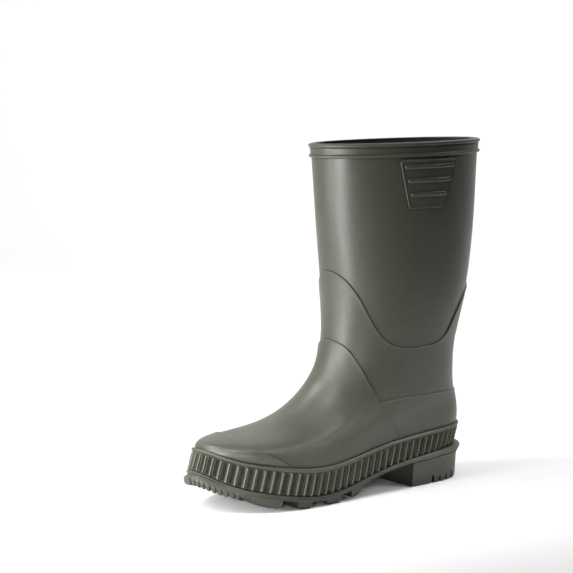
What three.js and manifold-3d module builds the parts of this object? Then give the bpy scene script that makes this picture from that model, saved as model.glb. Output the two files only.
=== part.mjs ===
// Child's rubber rain boot, left foot, standing flat on its heel and its forefoot tread.
// Millimetres, +Z up, toe towards -Y, outer (lateral) side towards +X, origin under the
// middle of the overall box. The leg and foot are one lofted surface: a place on it is
// given by a station (0 at the front, 3 at the outer side, 6 at the back, 9 at the inner
// side) and a level (height above the feather line where upper and sole meet). Every
// rubber layer is that surface set off along its normal by its own depth.
import * as THREE from 'three';
import Module from 'manifold-3d';

const wasm = await Module();
wasm.setup();

// ---------------------------------------------------------------- driving dimensions

// level, front y, back y, then half-widths at stations 1 to 5
const SECTIONS = [
  [0, -106, 104.5, 26, 36.5, 32, 30, 22.5],
  [10, -104.5, 106, 26.5, 37.5, 33, 31, 23.5],
  [20, -103, 108, 26.5, 37.5, 33, 31, 24.4],
  [32, -93.5, 108.5, 29.5, 36.5, 33.5, 31, 24.5],
  [42, -60.5, 107.5, 26, 34.5, 34.5, 31, 23],
  [56, -32, 105, 19, 32, 34.5, 32, 22],
  [75, -10.8, 103.5, 19, 31.5, 35.5, 33, 21.5],
  [100, -2, 105, 19, 33, 38, 34, 21],
  [135, 0, 113, 21, 37, 41.5, 37, 22],
  [180, -3, 120.5, 22.5, 38.5, 44.5, 39, 22.5],
  [245, -8, 124.5, 23.5, 40, 46.3, 40, 23.5],
];
const CENTRE_X = [-7, -6.5, -1.5, 1.5, 0.5, 0, 0]; // centre line of the foot at stations 0 to 6
const CENTRE_FADE = 80; // level where the centre line has become straight
const SOLE_FRONT = -113.5;
const SOLE_BACK = 111;
const SOLE_HALF = [0, 27, 40.5, 35.5, 33.5, 27, 0]; // half-width of the sole at stations 0 to 6
const LIFT_AT = [0, 0.06, 0.15, 0.25, 0.35, 0.5, 0.62, 0.75, 0.88, 1]; // share of sole length
const LIFT = [28.6, 20.8, 14.5, 10.1, 7.8, 12.7, 18.8, 22.4, 24.6, 25]; // feather line over floor
const LIFT_FADE = 110; // level where the toe and heel lift have died out
const RIM_TILT = 0.012; // the top edge rises this much per mm towards the back
const RIM_LEAN = 0.02; // and this much per mm towards the outer side
const RIM_MIDDLE = 58; // y about which the rim tilts
const RIM_LEVEL = 245;

const RUBBER = 2; // leg rubber thickness
const SINK = 1; // the leg rubber lies this much deeper where other layers cover it
const SINK_LEVELS = [100, 150]; // the sink fades out between these levels
const GAP = 0.3; // clearance between neighbouring pieces
const SEAM_GAP = 0.6; // clearance between two pieces that end against each other, along the level
const ANKLE_TOP = 1; // outer depth of each layer over the leg rubber
const COUNTER_TOP = 1.5;
const VAMP_TOP = 1.9;
const CAP_TOP = 2.9;
const FOXING_SKIN = 0.75; // thickness of the foxing between its ribs
const RIB_SKIN = 1.45; // and at its ribs
const BEAD_SKIN = 1.85; // thickness of the rolled bead over the foxing
const FOXING_FOOT = 1.2;
const BEAD_HEIGHT = 3.2;
const RIBS = 83; // vertical ribs round the foxing
const RIB_SHARE = [0, 0.07, 0.2, 0.27]; // rib foot, face, face and foot as shares of one pitch

const RIM_BAND = [235.1, 242.1]; // levels of the flat binding
const RIM_BAND_FACE = 1.1;
const RIM_PROUD = 1.8; // how far the rim beads stand out from the leg
const PATCH = { top: 233.6, foot: 199.4, wide: [2.1, 3.59], narrow: [2.3, 3.24] };
const PATCH_BARS = [228, 218.4, 208.9]; // levels of the raised bars
const PATCH_FACE = 1.05;
const BAR_FACE = 2.1;
const BAR_HEIGHT = 3;
const TAB = { stations: [5.72, 6.28], levels: [226.5, 233.5], face: 2 };

const LINING = [-3.7, -2.9]; // inner and outer depth of the textile lining
const SOLE_WALL = 3.9; // height of the sole edge at the ball and the arch
const TOE_WALL = 7.2; // at the tip of the toe
const HEEL_WALL = 5; // at the heel
const TOE_LEDGE = 2.4; // the sole's edge slopes this far outwards at the tip of the toe
const SHELF = 4.8; // how far in from the sole's edge the upper stands
const EDGE_LUGS = [[-91, -67], [-55.5, -43.8], [-32, -17.5], [-9, 1.2]]; // y ranges along the edge
const MIDDLE_LUGS = { front: -81, pitch: 14.3, length: 8.6, rows: 6 };
const LUG_DEPTH = 9.9; // lug foot under the feather line, down to the floor
const HEEL_BREAST = 50.5; // y of the heel's straight front face
const HEEL_INSET = 2.7;
const TOOTH = 2.2; // width and depth of the small teeth round the toe
const TEETH_PER_SIDE = 12;
const NOTCH_STATIONS = [4.72, 5.02, 5.27, 5.56]; // grooves in the back of the heel
const NOTCH_HEIGHTS = [7, 4.5, 4.5, 7];

const AROUND = 36; // columns round the leg rubber and everything nested against it
const SHIFT_Y = -(SOLE_FRONT + 124.5 + RIM_PROUD) / 2;

// ---------------------------------------------------------------- splines

function hermite(p0, m0, p1, m1, h, s) {
  const a = s * s * (3 - 2 * s);
  return p0 * (1 - a) + p1 * a + h * s * (1 - s) * ((1 - s) * m0 - s * m1);
}

// Smooth curve through values at rising knots, straight beyond both ends.
function openSpline(knots, values) {
  const n = knots.length;
  const h = knots.slice(1).map((k, i) => k - knots[i]);
  const rise = h.map((width, i) => (values[i + 1] - values[i]) / width);
  const m = new Array(n).fill(0);
  for (let sweep = 0; sweep < 60; sweep++) {
    m[0] = 1.5 * rise[0] - m[1] / 2;
    for (let i = 1; i < n - 1; i++) {
      const push = 3 * (rise[i - 1] / h[i - 1] + rise[i] / h[i]) - m[i - 1] / h[i - 1] - m[i + 1] / h[i];
      m[i] = push / (2 * (1 / h[i - 1] + 1 / h[i]));
    }
    m[n - 1] = 1.5 * rise[n - 2] - m[n - 2] / 2;
  }
  return (x) => {
    if (x <= knots[0]) return values[0] + m[0] * (x - knots[0]);
    if (x >= knots[n - 1]) return values[n - 1] + m[n - 1] * (x - knots[n - 1]);
    const i = knots.findLastIndex((k) => k <= x);
    return hermite(values[i], m[i], values[i + 1], m[i + 1], h[i], (x - knots[i]) / h[i]);
  };
}

// Smooth closed curve through evenly spaced values.
function closedSpline(values) {
  const n = values.length;
  const m = new Array(n).fill(0);
  for (let sweep = 0; sweep < 30; sweep++) {
    for (let i = 0; i < n; i++) {
      const before = (i + n - 1) % n;
      const after = (i + 1) % n;
      m[i] = (3 * (values[after] - values[before]) - m[before] - m[after]) / 4;
    }
  }
  return (u) => {
    const w = ((u % n) + n) % n;
    const i = Math.floor(w);
    const j = (i + 1) % n;
    return hermite(values[i], m[i], values[j], m[j], 1, w - i);
  };
}

const clamp01 = (x) => Math.min(1, Math.max(0, x));
const smooth = (x) => clamp01(x) * clamp01(x) * (3 - 2 * clamp01(x));

// ---------------------------------------------------------------- the boot's surface

const LEVELS = SECTIONS.map((row) => row[0]);
const alongLevel = (column) => openSpline(LEVELS, SECTIONS.map((row) => row[column]));
const FRONT = alongLevel(1);
const BACK = alongLevel(2);
const HALF = [3, 4, 5, 6, 7].map(alongLevel);
const STATION_SHARE = CENTRE_X.map((_, k) => (1 - Math.cos((k * Math.PI) / 6)) / 2);
const liftSpline = openSpline(LIFT_AT, LIFT);
const lift = (y) => liftSpline(clamp01((y - SOLE_FRONT) / (SOLE_BACK - SOLE_FRONT)));

// Closed curve through seven stations on the outer side and their mirror on the inner side.
function ringThrough(front, back, half, centre) {
  const y = STATION_SHARE.map((share) => front + (back - front) * share);
  const inner = [5, 4, 3, 2, 1];
  const xs = half.map((w, k) => centre[k] + w).concat(inner.map((k) => centre[k] - half[k]));
  return { x: closedSpline(xs), y: closedSpline(y.concat(inner.map((k) => y[k]))) };
}

const ringCache = new Map();
function legRing(level) {
  if (!ringCache.has(level)) {
    const straight = clamp01(1 - level / CENTRE_FADE);
    const half = [0, ...HALF.map((w) => w(level)), 0];
    ringCache.set(level, ringThrough(FRONT(level), BACK(level), half, CENTRE_X.map((x) => x * straight)));
  }
  return ringCache.get(level);
}

function legPoint(u, level) {
  const ring = legRing(level);
  const y = ring.y(u);
  const x = ring.x(u);
  const tilt = (RIM_TILT * (y - RIM_MIDDLE) + RIM_LEAN * x) * smooth((level - 150) / (RIM_LEVEL - 150));
  return new THREE.Vector3(x, y, level + lift(y) * clamp01(1 - level / LIFT_FADE) + tilt);
}

// Point at a depth outside (+) or inside (-) the leg rubber's outer skin.
function place(u, level, depth) {
  const along = legPoint(u + 0.02, level).sub(legPoint(u - 0.02, level));
  const up = legPoint(u, level + 0.5).sub(legPoint(u, level - 0.5));
  const normal = along.cross(up).normalize();
  const sink = SINK * (1 - smooth((level - SINK_LEVELS[0]) / (SINK_LEVELS[1] - SINK_LEVELS[0])));
  return legPoint(u, level).addScaledVector(normal, depth - sink);
}

// The same point raised by as much as the sole's edge rises on the way out to it.
function placeOnSole(u, level, depth) {
  const point = place(u, level, depth);
  return point.setZ(point.z + lift(point.y) - lift(legPoint(u, level).y));
}

const soleRing = ringThrough(SOLE_FRONT, SOLE_BACK, SOLE_HALF, CENTRE_X);

// Point on the sole's outline, moved inwards by inset, at height z(y).
function solePoint(u, inset, height) {
  const dx = soleRing.x(u + 0.02) - soleRing.x(u - 0.02);
  const dy = soleRing.y(u + 0.02) - soleRing.y(u - 0.02);
  const size = Math.hypot(dx, dy);
  const x = soleRing.x(u) - (inset * dy) / size;
  const y = soleRing.y(u) + (inset * dx) / size;
  return new THREE.Vector3(x, y, height(y));
}

const columns = (count) => Array.from({ length: count }, (_, i) => (12 * i) / count);
const mirrored = (u) => 12 - u;
const fromFront = (u) => Math.min(u, mirrored(u));

// Seams: level of each edge as a function of the distance in stations from the front.
const seam = (stations, levels) => {
  const curve = openSpline(stations, levels);
  return (u) => curve(fromFront(((u % 12) + 12) % 12));
};
const wavySeam = seam(
  [0, 0.12, 0.4, 0.7, 1.1, 1.5, 1.9, 2.3, 2.8, 3.3, 3.7, 3.95, 4.15, 4.35, 4.6, 5, 5.5, 6],
  [156.1, 155.9, 153.9, 149.5, 137, 120.5, 108.3, 102, 99.6, 100.2, 103, 109.5, 120, 129.5, 136.5,
    141, 143.5, 144.5],
);
const vampSeam = seam(
  [0, 0.15, 0.5, 0.9, 1.25, 1.7, 2.17, 2.75, 3.12, 3.45, 3.6, 3.7, 3.9, 4.4, 6],
  [107.5, 107.3, 105.6, 99.8, 89.5, 76.3, 64.5, 48.9, 40.3, 32.1, 25, 18, 6, -6, -20],
);
const capCurve = seam(
  [0, 0.4, 0.8, 1.08, 1.3, 1.55, 1.7, 1.85, 2, 2.1, 2.2, 6],
  [36, 34.8, 32.6, 31, 29.6, 27, 24.4, 20.5, 14.5, 6, -6, -60],
);
const CAP_RISE = 3;
const CAP_RISE_END = 1.7;

// The cap's edge runs higher over the big toe, on the inner side.
function capSeam(u) {
  const station = ((u % 12) + 12) % 12;
  const s = fromFront(station);
  const overBigToe = station > 6 && s < CAP_RISE_END;
  return capCurve(u) + (overBigToe ? CAP_RISE * Math.sin((Math.PI * s) / CAP_RISE_END) ** 2 : 0);
}

const counterSeam = seam([0, 2.8, 3.2, 3.65, 4.15, 4.75, 6], [57, 57, 56.3, 55.3, 54.3, 52.5, 52]);
const foxingTop = seam([0, 1, 2, 3, 4, 5, 6], [18.3, 18.2, 17.3, 16.8, 16.4, 16.6, 17]);

// Inner depth of the foxing: it clears the toe cap, then the vamp, then the counter.
function foxingInner(u) {
  const s = fromFront(u);
  return CAP_TOP + 1.5 * GAP - 1.0 * smooth((s - 2.1) / 0.3) - 0.4 * smooth((s - 4.3) / 0.4);
}

// ---------------------------------------------------------------- mesh building

function solidFrom(points, faces) {
  let volume = 0;
  for (const [a, b, c] of faces) {
    volume += points[a].dot(new THREE.Vector3().crossVectors(points[b], points[c]));
  }
  const triVerts = Uint32Array.from(faces.flatMap(([a, b, c]) => (volume > 0 ? [a, b, c] : [a, c, b])));
  const vertProperties = Float32Array.from(points.flatMap((p) => [p.x, p.y, p.z]));
  return new wasm.Manifold(new wasm.Mesh({ numProp: 3, vertProperties, triVerts }));
}

// Quads between two rows of vertex numbers, split along the other diagonal from turnAt on.
function stitch(faces, rowA, rowB, closed, turnAt = Infinity) {
  const n = rowA.length;
  for (let i = 0; i < (closed ? n : n - 1); i++) {
    const j = (i + 1) % n;
    if (i < turnAt) faces.push([rowA[i], rowA[j], rowB[j]], [rowA[i], rowB[j], rowB[i]]);
    else faces.push([rowA[i], rowA[j], rowB[i]], [rowA[j], rowB[j], rowB[i]]);
  }
}

const range = (start, count) => Array.from({ length: count }, (_, i) => start + i);

// Closed ring: profileAt(u) gives a closed list of [depth, level], the same length at every column.
// The profile's second half runs back down inside, so its quads split the other way and the
// facets of nested layers match.
function ringSolid(us, profileAt, at = place) {
  const points = [];
  for (const u of us) for (const [depth, level] of profileAt(u)) points.push(at(u, level, depth));
  const size = profileAt(0).length;
  const column = (i) => range((i % us.length) * size, size);
  const faces = [];
  us.forEach((_, i) => stitch(faces, column(i), column(i + 1), true, size / 2));
  return solidFrom(points, faces);
}

// Profile of a layer between two depths, through the given levels.
const layerProfile = (levels, inner, outer) =>
  levels.map((t) => [outer, t]).concat(levels.toReversed().map((t) => [inner, t]));

// Everything near the surface that lies below a seam.
function belowSeam(top) {
  const foot = -4;
  const steps = range(0, 11);
  const profileAt = (u) => {
    const height = Math.max(top(u), foot + 0.5);
    return layerProfile(steps.map((k) => foot + ((height - foot) * k) / 10), -1.5, 7);
  };
  return ringSolid(columns(54), profileAt);
}

// Closed sheet over a block of stations and levels; edges(v) gives the two stations at level v.
function sheetSolid(levels, edges, acrossCount, inner, outer) {
  const points = [];
  for (const depth of [inner, outer]) {
    for (const level of levels) {
      const [a, b] = edges(level);
      for (let i = 0; i <= acrossCount; i++) points.push(place(a + ((b - a) * i) / acrossCount, level, depth));
    }
  }
  const wide = acrossCount + 1;
  const half = levels.length * wide;
  const row = (side, j) => range(side * half + j * wide, wide);
  const faces = [];
  for (let j = 0; j + 1 < levels.length; j++) {
    stitch(faces, row(0, j), row(0, j + 1), false);
    stitch(faces, row(1, j + 1), row(1, j), false);
  }
  const last = levels.length - 1;
  const border = (side) => [
    ...row(side, 0),
    ...range(1, last - 1).map((j) => row(side, j)[acrossCount]),
    ...row(side, last).toReversed(),
    ...range(1, last - 1).map((j) => row(side, j)[0]).toReversed(),
  ];
  stitch(faces, border(1), border(0), true);
  return solidFrom(points, faces);
}

// Rows of closed rings from top to foot, capped by strips from side to side.
function plateSolid(rings) {
  const n = rings[0].length;
  const faces = [];
  for (let j = 0; j + 1 < rings.length; j++) stitch(faces, range(j * n, n), range((j + 1) * n, n), true);
  const half = n / 2;
  for (const [base, turn] of [[0, false], [(rings.length - 1) * n, true]]) {
    for (let i = 0; i < half; i++) {
      const [a, b] = [base + i, base + i + 1];
      const [c, d] = [base + ((n - i) % n), base + ((n - i - 1) % n)];
      const pair = i === 0 ? [[a, b, d]] : i === half - 1 ? [[a, b, c]] : [[a, b, d], [a, d, c]];
      for (const [p, q, r] of pair) faces.push(turn ? [p, q, r] : [p, r, q]);
    }
  }
  return solidFrom(rings.flat(), faces);
}

// Upright prism over a plan outline; the top and foot heights follow y.
function prismSolid(outline, topAt, footAt) {
  const n = outline.length;
  const ringAt = (height) => outline.map(([x, y]) => new THREE.Vector3(x, y, height(y)));
  const faces = [];
  stitch(faces, range(0, n), range(n, n), true);
  for (let i = 1; i + 1 < n; i++) faces.push([0, i + 1, i], [n, n + i, n + i + 1]);
  return solidFrom([...ringAt(topAt), ...ringAt(footAt)], faces);
}

// ---------------------------------------------------------------- upper

const LEG_LEVELS = [0.3, 9, 17, 23, 29, 35, 42, 51, 62, 75, 90, 106, 124, 146, 175, 210, 241.6];
const LINING_LEVELS = [5.4, 11, 17, 23, 29, 35, 42, 51, 62, 75, 90, 106, 124, 146, 175, 210, 240];
const OVERLAY_LEVELS = [2, ...LEG_LEVELS.filter((t) => t > 4 && t < 156)];

const legShell = () =>
  ringSolid(columns(AROUND), () => layerProfile(LEG_LEVELS, -RUBBER, 0));

const lining = () =>
  ringSolid(columns(AROUND / 2), () => layerProfile(LINING_LEVELS, LINING[0], LINING[1]));

// Full wrap of one overlay layer up to a level, before its seams are cut.
function overlay(limit, inner, outer) {
  const levels = OVERLAY_LEVELS.filter((t) => t < limit);
  return ringSolid(columns(AROUND), () => layerProfile([...levels, limit], inner, outer));
}

const raised = (curve, by) => (u) => curve(u) + by;
const vampAndCounter = (u) => Math.max(vampSeam(u), counterSeam(u));

const ankleBand = () =>
  overlay(158, GAP, ANKLE_TOP)
    .intersect(belowSeam(wavySeam))
    .subtract(belowSeam(raised(vampAndCounter, SEAM_GAP)));

const vamp = () => overlay(112, GAP, VAMP_TOP).intersect(belowSeam(vampSeam));

const heelCounter = () =>
  overlay(62, GAP, COUNTER_TOP)
    .intersect(belowSeam(counterSeam))
    .subtract(belowSeam(raised(vampSeam, 2 * SEAM_GAP)));

const toeCap = () => overlay(38, VAMP_TOP + GAP, CAP_TOP).intersect(belowSeam(capSeam));

const rimBand = () => {
  const [foot, top] = RIM_BAND;
  return ringSolid(columns(AROUND), () => [
    [GAP, foot], [1.2, foot], [RIM_PROUD, foot + 0.8], [RIM_PROUD, foot + 1.9], [RIM_BAND_FACE, foot + 2.7],
    [RIM_BAND_FACE, top], [GAP, top],
  ]);
};

// Rolled bead that caps the cut edges of rubber and lining.
const rimBead = () =>
  ringSolid(columns(AROUND), () => [
    [-3.2, 242.4], [1.1, 242.4], [RIM_PROUD, 243.1], [RIM_PROUD, 244.1], [0.9, 245.1], [-1.8, 245.1],
    [-3.2, 244.1],
  ]);

// ---------------------------------------------------------------- patches and tab

function patch(flip) {
  const turn = ([a, b]) => (flip ? [mirrored(b), mirrored(a)] : [a, b]);
  const share = (level) => (PATCH.top - level) / (PATCH.top - PATCH.foot);
  const edges = (level) => [0, 1].map((k) => PATCH.wide[k] + (PATCH.narrow[k] - PATCH.wide[k]) * share(level));
  const plate = sheetSolid([PATCH.foot, 211, 222, PATCH.top], (t) => turn(edges(t)), 6, GAP, PATCH_FACE);
  return PATCH_BARS.reduce((solid, level) => {
    const margin = (t) => 0.1 + 0.02 * Math.abs(t - level);
    const ends = (t) => turn([edges(level)[0] + margin(t), edges(level)[1] - margin(t)]);
    const levels = [level - BAR_HEIGHT / 2, level, level + BAR_HEIGHT / 2];
    return solid.add(sheetSolid(levels, ends, 5, PATCH_FACE - 0.4, BAR_FACE));
  }, plate);
}

const backTab = () => sheetSolid(TAB.levels, () => TAB.stations, 3, GAP, TAB.face);

// ---------------------------------------------------------------- foxing

// Stations that divide the girth at the foxing into equal lengths.
function evenStations(count) {
  const fine = columns(960);
  const girth = [0];
  fine.forEach((u, i) => girth.push(girth[i] + place(u, 8, 4).distanceTo(place(u + 12 / 960, 8, 4))));
  const total = girth[960];
  return range(0, count).map((i) => {
    const want = (total * i) / count;
    const k = girth.findLastIndex((g) => g <= want);
    return (12 * (k + (want - girth[k]) / (girth[k + 1] - girth[k]))) / 960;
  });
}

// Band of upright ribs. Each pitch has four columns outside and one inside.
function foxing() {
  const starts = evenStations(RIBS);
  const points = [];
  const outside = [];
  const inside = [];
  const rows = (u) => [FOXING_FOOT, (FOXING_FOOT + foxingTop(u)) / 2, foxingTop(u)];
  const column = (u, depth) => rows(u).map((t) => points.push(placeOnSole(u, t, depth)) - 1);
  starts.forEach((start, i) => {
    const pitch = (i + 1 < RIBS ? starts[i + 1] : 12) - start;
    inside.push(column(start, foxingInner(start)));
    RIB_SHARE.forEach((share, k) => {
      const u = start + pitch * share;
      outside.push(column(u, foxingInner(u) + (k === 1 || k === 2 ? RIB_SKIN : FOXING_SKIN)));
    });
  });
  const faces = [];
  for (let i = 0; i < RIBS; i++) {
    const next = (i + 1) % RIBS;
    const cell = range(4 * i, 5).map((k) => outside[k % outside.length]);
    for (let k = 0; k < 4; k++) stitch(faces, cell[k], cell[k + 1], false);
    stitch(faces, inside[next], inside[i], false);
    for (const [row, turn] of [[0, true], [2, false]]) {
      const fan = [...cell.map((c) => c[row]), inside[next][row]];
      for (let k = 0; k + 1 < fan.length; k++) {
        const face = [inside[i][row], fan[k], fan[k + 1]];
        faces.push(turn ? face : face.toReversed());
      }
    }
  }
  return solidFrom(points, faces);
}

// Rolled bead that covers the foxing's top edge.
function foxingBead() {
  return ringSolid(columns(60), (u) => {
    const foot = foxingTop(u) + GAP;
    const inner = foxingInner(u);
    const top = foot + BEAD_HEIGHT;
    const face = inner + BEAD_SKIN;
    return [[inner, foot], [face - 0.6, foot], [face, foot + 1.1], [face - 0.5, top - 0.7],
      [inner + 0.6, top], [inner, top - 0.4]];
  }, placeOnSole);
}

// ---------------------------------------------------------------- sole

const towardsToe = (y, length) => 1 - smooth((y - SOLE_FRONT) / length);
const wallHeight = (y) =>
  SOLE_WALL + (TOE_WALL - SOLE_WALL) * towardsToe(y, 38) + (HEEL_WALL - SOLE_WALL) * smooth((y - 40) / 30);
const soleFoot = (y) => lift(y) - wallHeight(y);
const below = (drop) => (y) => lift(y) - drop;
const lugFoot = (y) => Math.max(0, lift(y) - LUG_DEPTH);

function soleSlab() {
  const us = columns(48);
  const share = (part) => (y) => lift(y) - 0.4 - (wallHeight(y) - 0.4) * part;
  const ledge = (u) => 0.5 + TOE_LEDGE * (1 - smooth(fromFront(u) - 0.3));
  const rings = [[() => SHELF, below(0.2)], [() => SHELF - 0.6, below(0.4)], [ledge, below(0.4)],
    [() => 0, share(0.4)], [() => 0.6, share(0.75)], [() => 1.4, soleFoot]];
  return plateSolid(rings.map(([inset, height]) => us.map((u) => solePoint(u, inset(u), height))));
}

function stationAt(y) {
  const shareOfLength = clamp01((y - SOLE_FRONT) / (SOLE_BACK - SOLE_FRONT));
  return (Math.acos(1 - 2 * shareOfLength) * 6) / Math.PI;
}

// Plan of a lug that fills a share of the sole's half-width between two places along it.
function lugPlan(side, inner, outer, front, back, sweep) {
  const across = (y, share) => {
    const u = stationAt(y);
    const edge = solePoint(side > 0 ? u : mirrored(u), 2.2, () => 0).x;
    const middle = (soleRing.x(u) + soleRing.x(mirrored(u))) / 2;
    return middle + (edge - middle) * share;
  };
  return [[inner, front + sweep], [outer, front], [outer, back], [inner, back + sweep]].map(([share, y]) => [
    across(y, share), y]);
}

const embedded = (y) => soleFoot(y) + 1;

function forefootLugs() {
  const lugs = [];
  for (const side of [-1, 1]) {
    for (const [front, back] of EDGE_LUGS) {
      lugs.push(prismSolid(lugPlan(side, 0.56, 1, front, back, -2), embedded, lugFoot));
    }
    for (let i = 0; i < MIDDLE_LUGS.rows; i++) {
      const front = MIDDLE_LUGS.front + i * MIDDLE_LUGS.pitch;
      const plan = lugPlan(side, 0.07, 0.44, front, front + MIDDLE_LUGS.length, -5);
      lugs.push(prismSolid(plan, embedded, lugFoot));
    }
  }
  return lugs;
}

// Millimetres of outline per station.
function outlinePerStation(u) {
  return solePoint(u + 0.1, 0, () => 0).distanceTo(solePoint(u - 0.1, 0, () => 0)) / 0.2;
}

function toeTeeth() {
  const pitch = 1.02 / TEETH_PER_SIDE;
  const stations = range(-TEETH_PER_SIDE, 2 * TEETH_PER_SIDE + 1).map((k) => k * pitch);
  return stations.map((u) => {
    const width = TOOTH / 2 / outlinePerStation(u);
    const plan = [[u - width, 0.6], [u + width, 0.6], [u + width, 5.5], [u - width, 5.5]].map(([s, inset]) => {
      const p = solePoint(s, inset, () => 0);
      return [p.x, p.y];
    });
    return prismSolid(plan, embedded, (y) => soleFoot(y) - TOOTH);
  });
}

const outsole = () => [...forefootLugs(), ...toeTeeth()].reduce((solid, lug) => solid.add(lug), soleSlab());

function heelNotch(u, height) {
  const rim = solePoint(u, HEEL_INSET, () => 0);
  const inward = solePoint(u, HEEL_INSET + 5, () => 0).sub(rim).normalize();
  const along = new THREE.Vector3(-inward.y, inward.x, 0);
  const section = [[-1.9, -1], [1.9, -1], [0.5, height], [-0.5, height]];
  const points = [-3, 4].flatMap((reach) =>
    section.map(([side, z]) =>
      rim.clone().addScaledVector(inward, reach).addScaledVector(along, side).setZ(z)));
  const faces = [[0, 2, 1], [0, 3, 2], [4, 5, 6], [4, 6, 7]];
  stitch(faces, range(0, 4), range(4, 4), true);
  return solidFrom(points, faces);
}

function heelBlock() {
  const from = stationAt(HEEL_BREAST);
  const steps = 22;
  const plan = range(0, steps + 1).map((i) => {
    const p = solePoint(from + ((12 - 2 * from) * i) / steps, HEEL_INSET, () => 0);
    return [p.x, i === 0 || i === steps ? HEEL_BREAST : p.y];
  });
  const block = prismSolid(plan, (y) => soleFoot(y) - GAP, () => 0);
  const stations = [...NOTCH_STATIONS, ...NOTCH_STATIONS.map(mirrored)];
  return stations.reduce((solid, u, i) => solid.subtract(heelNotch(u, NOTCH_HEIGHTS[i % 4])), block);
}

// Flat piece inside the boot between two levels; it follows the sole's lift.
function innerPlate(levels, depth, count) {
  return plateSolid(levels.toReversed().map((level) => columns(count).map((u) => place(u, level, depth))));
}

// ---------------------------------------------------------------- assembly

const MATERIALS = {
  rubber: { color: 0x64665b, roughness: 0.55, metalness: 0 },
  sole_rubber: { color: 0x606257, roughness: 0.7, metalness: 0 },
  lining: { color: 0x2b2b28, roughness: 0.95, metalness: 0 },
  board: { color: 0x8a7658, roughness: 0.9, metalness: 0 },
  foam: { color: 0x5a5a55, roughness: 0.9, metalness: 0 },
};

function meshFrom(name, solid, look) {
  const { vertProperties, triVerts } = solid.getMesh();
  const geometry = new THREE.BufferGeometry();
  geometry.setAttribute('position', new THREE.BufferAttribute(Float32Array.from(vertProperties), 3));
  geometry.setIndex(new THREE.BufferAttribute(Uint32Array.from(triVerts), 1));
  geometry.translate(0, SHIFT_Y, 0);
  geometry.computeVertexNormals();
  const mesh = new THREE.Mesh(geometry, new THREE.MeshStandardMaterial(MATERIALS[look]));
  mesh.name = name;
  return mesh;
}

const PIECES = [
  ['leg_shell', legShell(), 'rubber'],
  ['lining', lining(), 'lining'],
  ['ankle_band', ankleBand(), 'rubber'],
  ['vamp', vamp(), 'rubber'],
  ['heel_counter', heelCounter(), 'rubber'],
  ['toe_cap', toeCap(), 'rubber'],
  ['rim_band', rimBand(), 'rubber'],
  ['rim_bead', rimBead(), 'rubber'],
  ['lateral_patch', patch(false), 'rubber'],
  ['medial_patch', patch(true), 'rubber'],
  ['back_tab', backTab(), 'rubber'],
  ['foxing', foxing(), 'rubber'],
  ['foxing_bead', foxingBead(), 'rubber'],
  ['outsole', outsole(), 'sole_rubber'],
  ['heel_block', heelBlock(), 'sole_rubber'],
  ['sole_filler', innerPlate([0.4, 2.3], -RUBBER - 0.4, AROUND), 'foam'],
  ['insole_board', innerPlate([2.7, 4.2], -RUBBER - 0.4, AROUND), 'board'],
  ['footbed', innerPlate([5.4, 9], LINING[0] - 0.5, AROUND / 2), 'foam'],
];

const boot = new THREE.Group();
boot.name = 'rain_boot';
for (const [name, solid, look] of PIECES) boot.add(meshFrom(name, solid, look));
export default boot;
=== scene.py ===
import math

import bmesh
import bpy
import numpy as np
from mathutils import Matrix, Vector


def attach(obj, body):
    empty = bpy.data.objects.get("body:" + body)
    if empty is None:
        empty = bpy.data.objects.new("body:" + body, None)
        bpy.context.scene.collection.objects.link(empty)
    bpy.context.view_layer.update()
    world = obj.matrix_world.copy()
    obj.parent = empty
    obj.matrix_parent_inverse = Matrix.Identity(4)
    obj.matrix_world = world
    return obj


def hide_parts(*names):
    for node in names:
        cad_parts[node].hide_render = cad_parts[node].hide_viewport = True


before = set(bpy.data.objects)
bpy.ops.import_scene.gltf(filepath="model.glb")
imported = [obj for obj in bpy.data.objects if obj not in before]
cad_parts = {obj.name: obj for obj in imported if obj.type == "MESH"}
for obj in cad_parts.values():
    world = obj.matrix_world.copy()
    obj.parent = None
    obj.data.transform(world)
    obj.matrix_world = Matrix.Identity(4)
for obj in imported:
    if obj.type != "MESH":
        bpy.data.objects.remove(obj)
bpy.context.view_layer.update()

# The boot's surface, in millimetres: a place is a station round the leg (0 front, 3 outer side,
# 6 back, 9 inner side), a level over the feather line and a depth outside the leg rubber.
STATIONS, BACK_STATION = 12, 6
MM = 0.001

SECTIONS = np.array([
    # level, front y, back y, half-widths at stations 1 to 5
    [0, -106, 104.5, 26, 36.5, 32, 30, 22.5],
    [10, -104.5, 106, 26.5, 37.5, 33, 31, 23.5],
    [20, -103, 108, 26.5, 37.5, 33, 31, 24.4],
    [32, -93.5, 108.5, 29.5, 36.5, 33.5, 31, 24.5],
    [42, -60.5, 107.5, 26, 34.5, 34.5, 31, 23],
    [56, -32, 105, 19, 32, 34.5, 32, 22],
    [75, -10.8, 103.5, 19, 31.5, 35.5, 33, 21.5],
    [100, -2, 105, 19, 33, 38, 34, 21],
    [135, 0, 113, 21, 37, 41.5, 37, 22],
    [180, -3, 120.5, 22.5, 38.5, 44.5, 39, 22.5],
    [245, -8, 124.5, 23.5, 40, 46.3, 40, 23.5],
])
CENTRE_X = np.array([-7, -6.5, -1.5, 1.5, 0.5, 0, 0.0])
CENTRE_FADE = 80.0
SOLE_FRONT, SOLE_BACK = -113.5, 111.0
SOLE_HALF = np.array([0, 27, 40.5, 35.5, 33.5, 27, 0.0])
LIFT_AT = np.array([0, 0.06, 0.15, 0.25, 0.35, 0.5, 0.62, 0.75, 0.88, 1])
LIFT = np.array([28.6, 20.8, 14.5, 10.1, 7.8, 12.7, 18.8, 22.4, 24.6, 25])
LIFT_FADE = 110.0
RIM_TILT, RIM_LEAN, RIM_MIDDLE, RIM_LEVEL = 0.012, 0.02, 58.0, 245.0
SINK, SINK_LEVELS = 1.0, (100.0, 150.0)
RIM_PROUD = 1.8
MOUTH_BACK = 124.5
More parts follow.
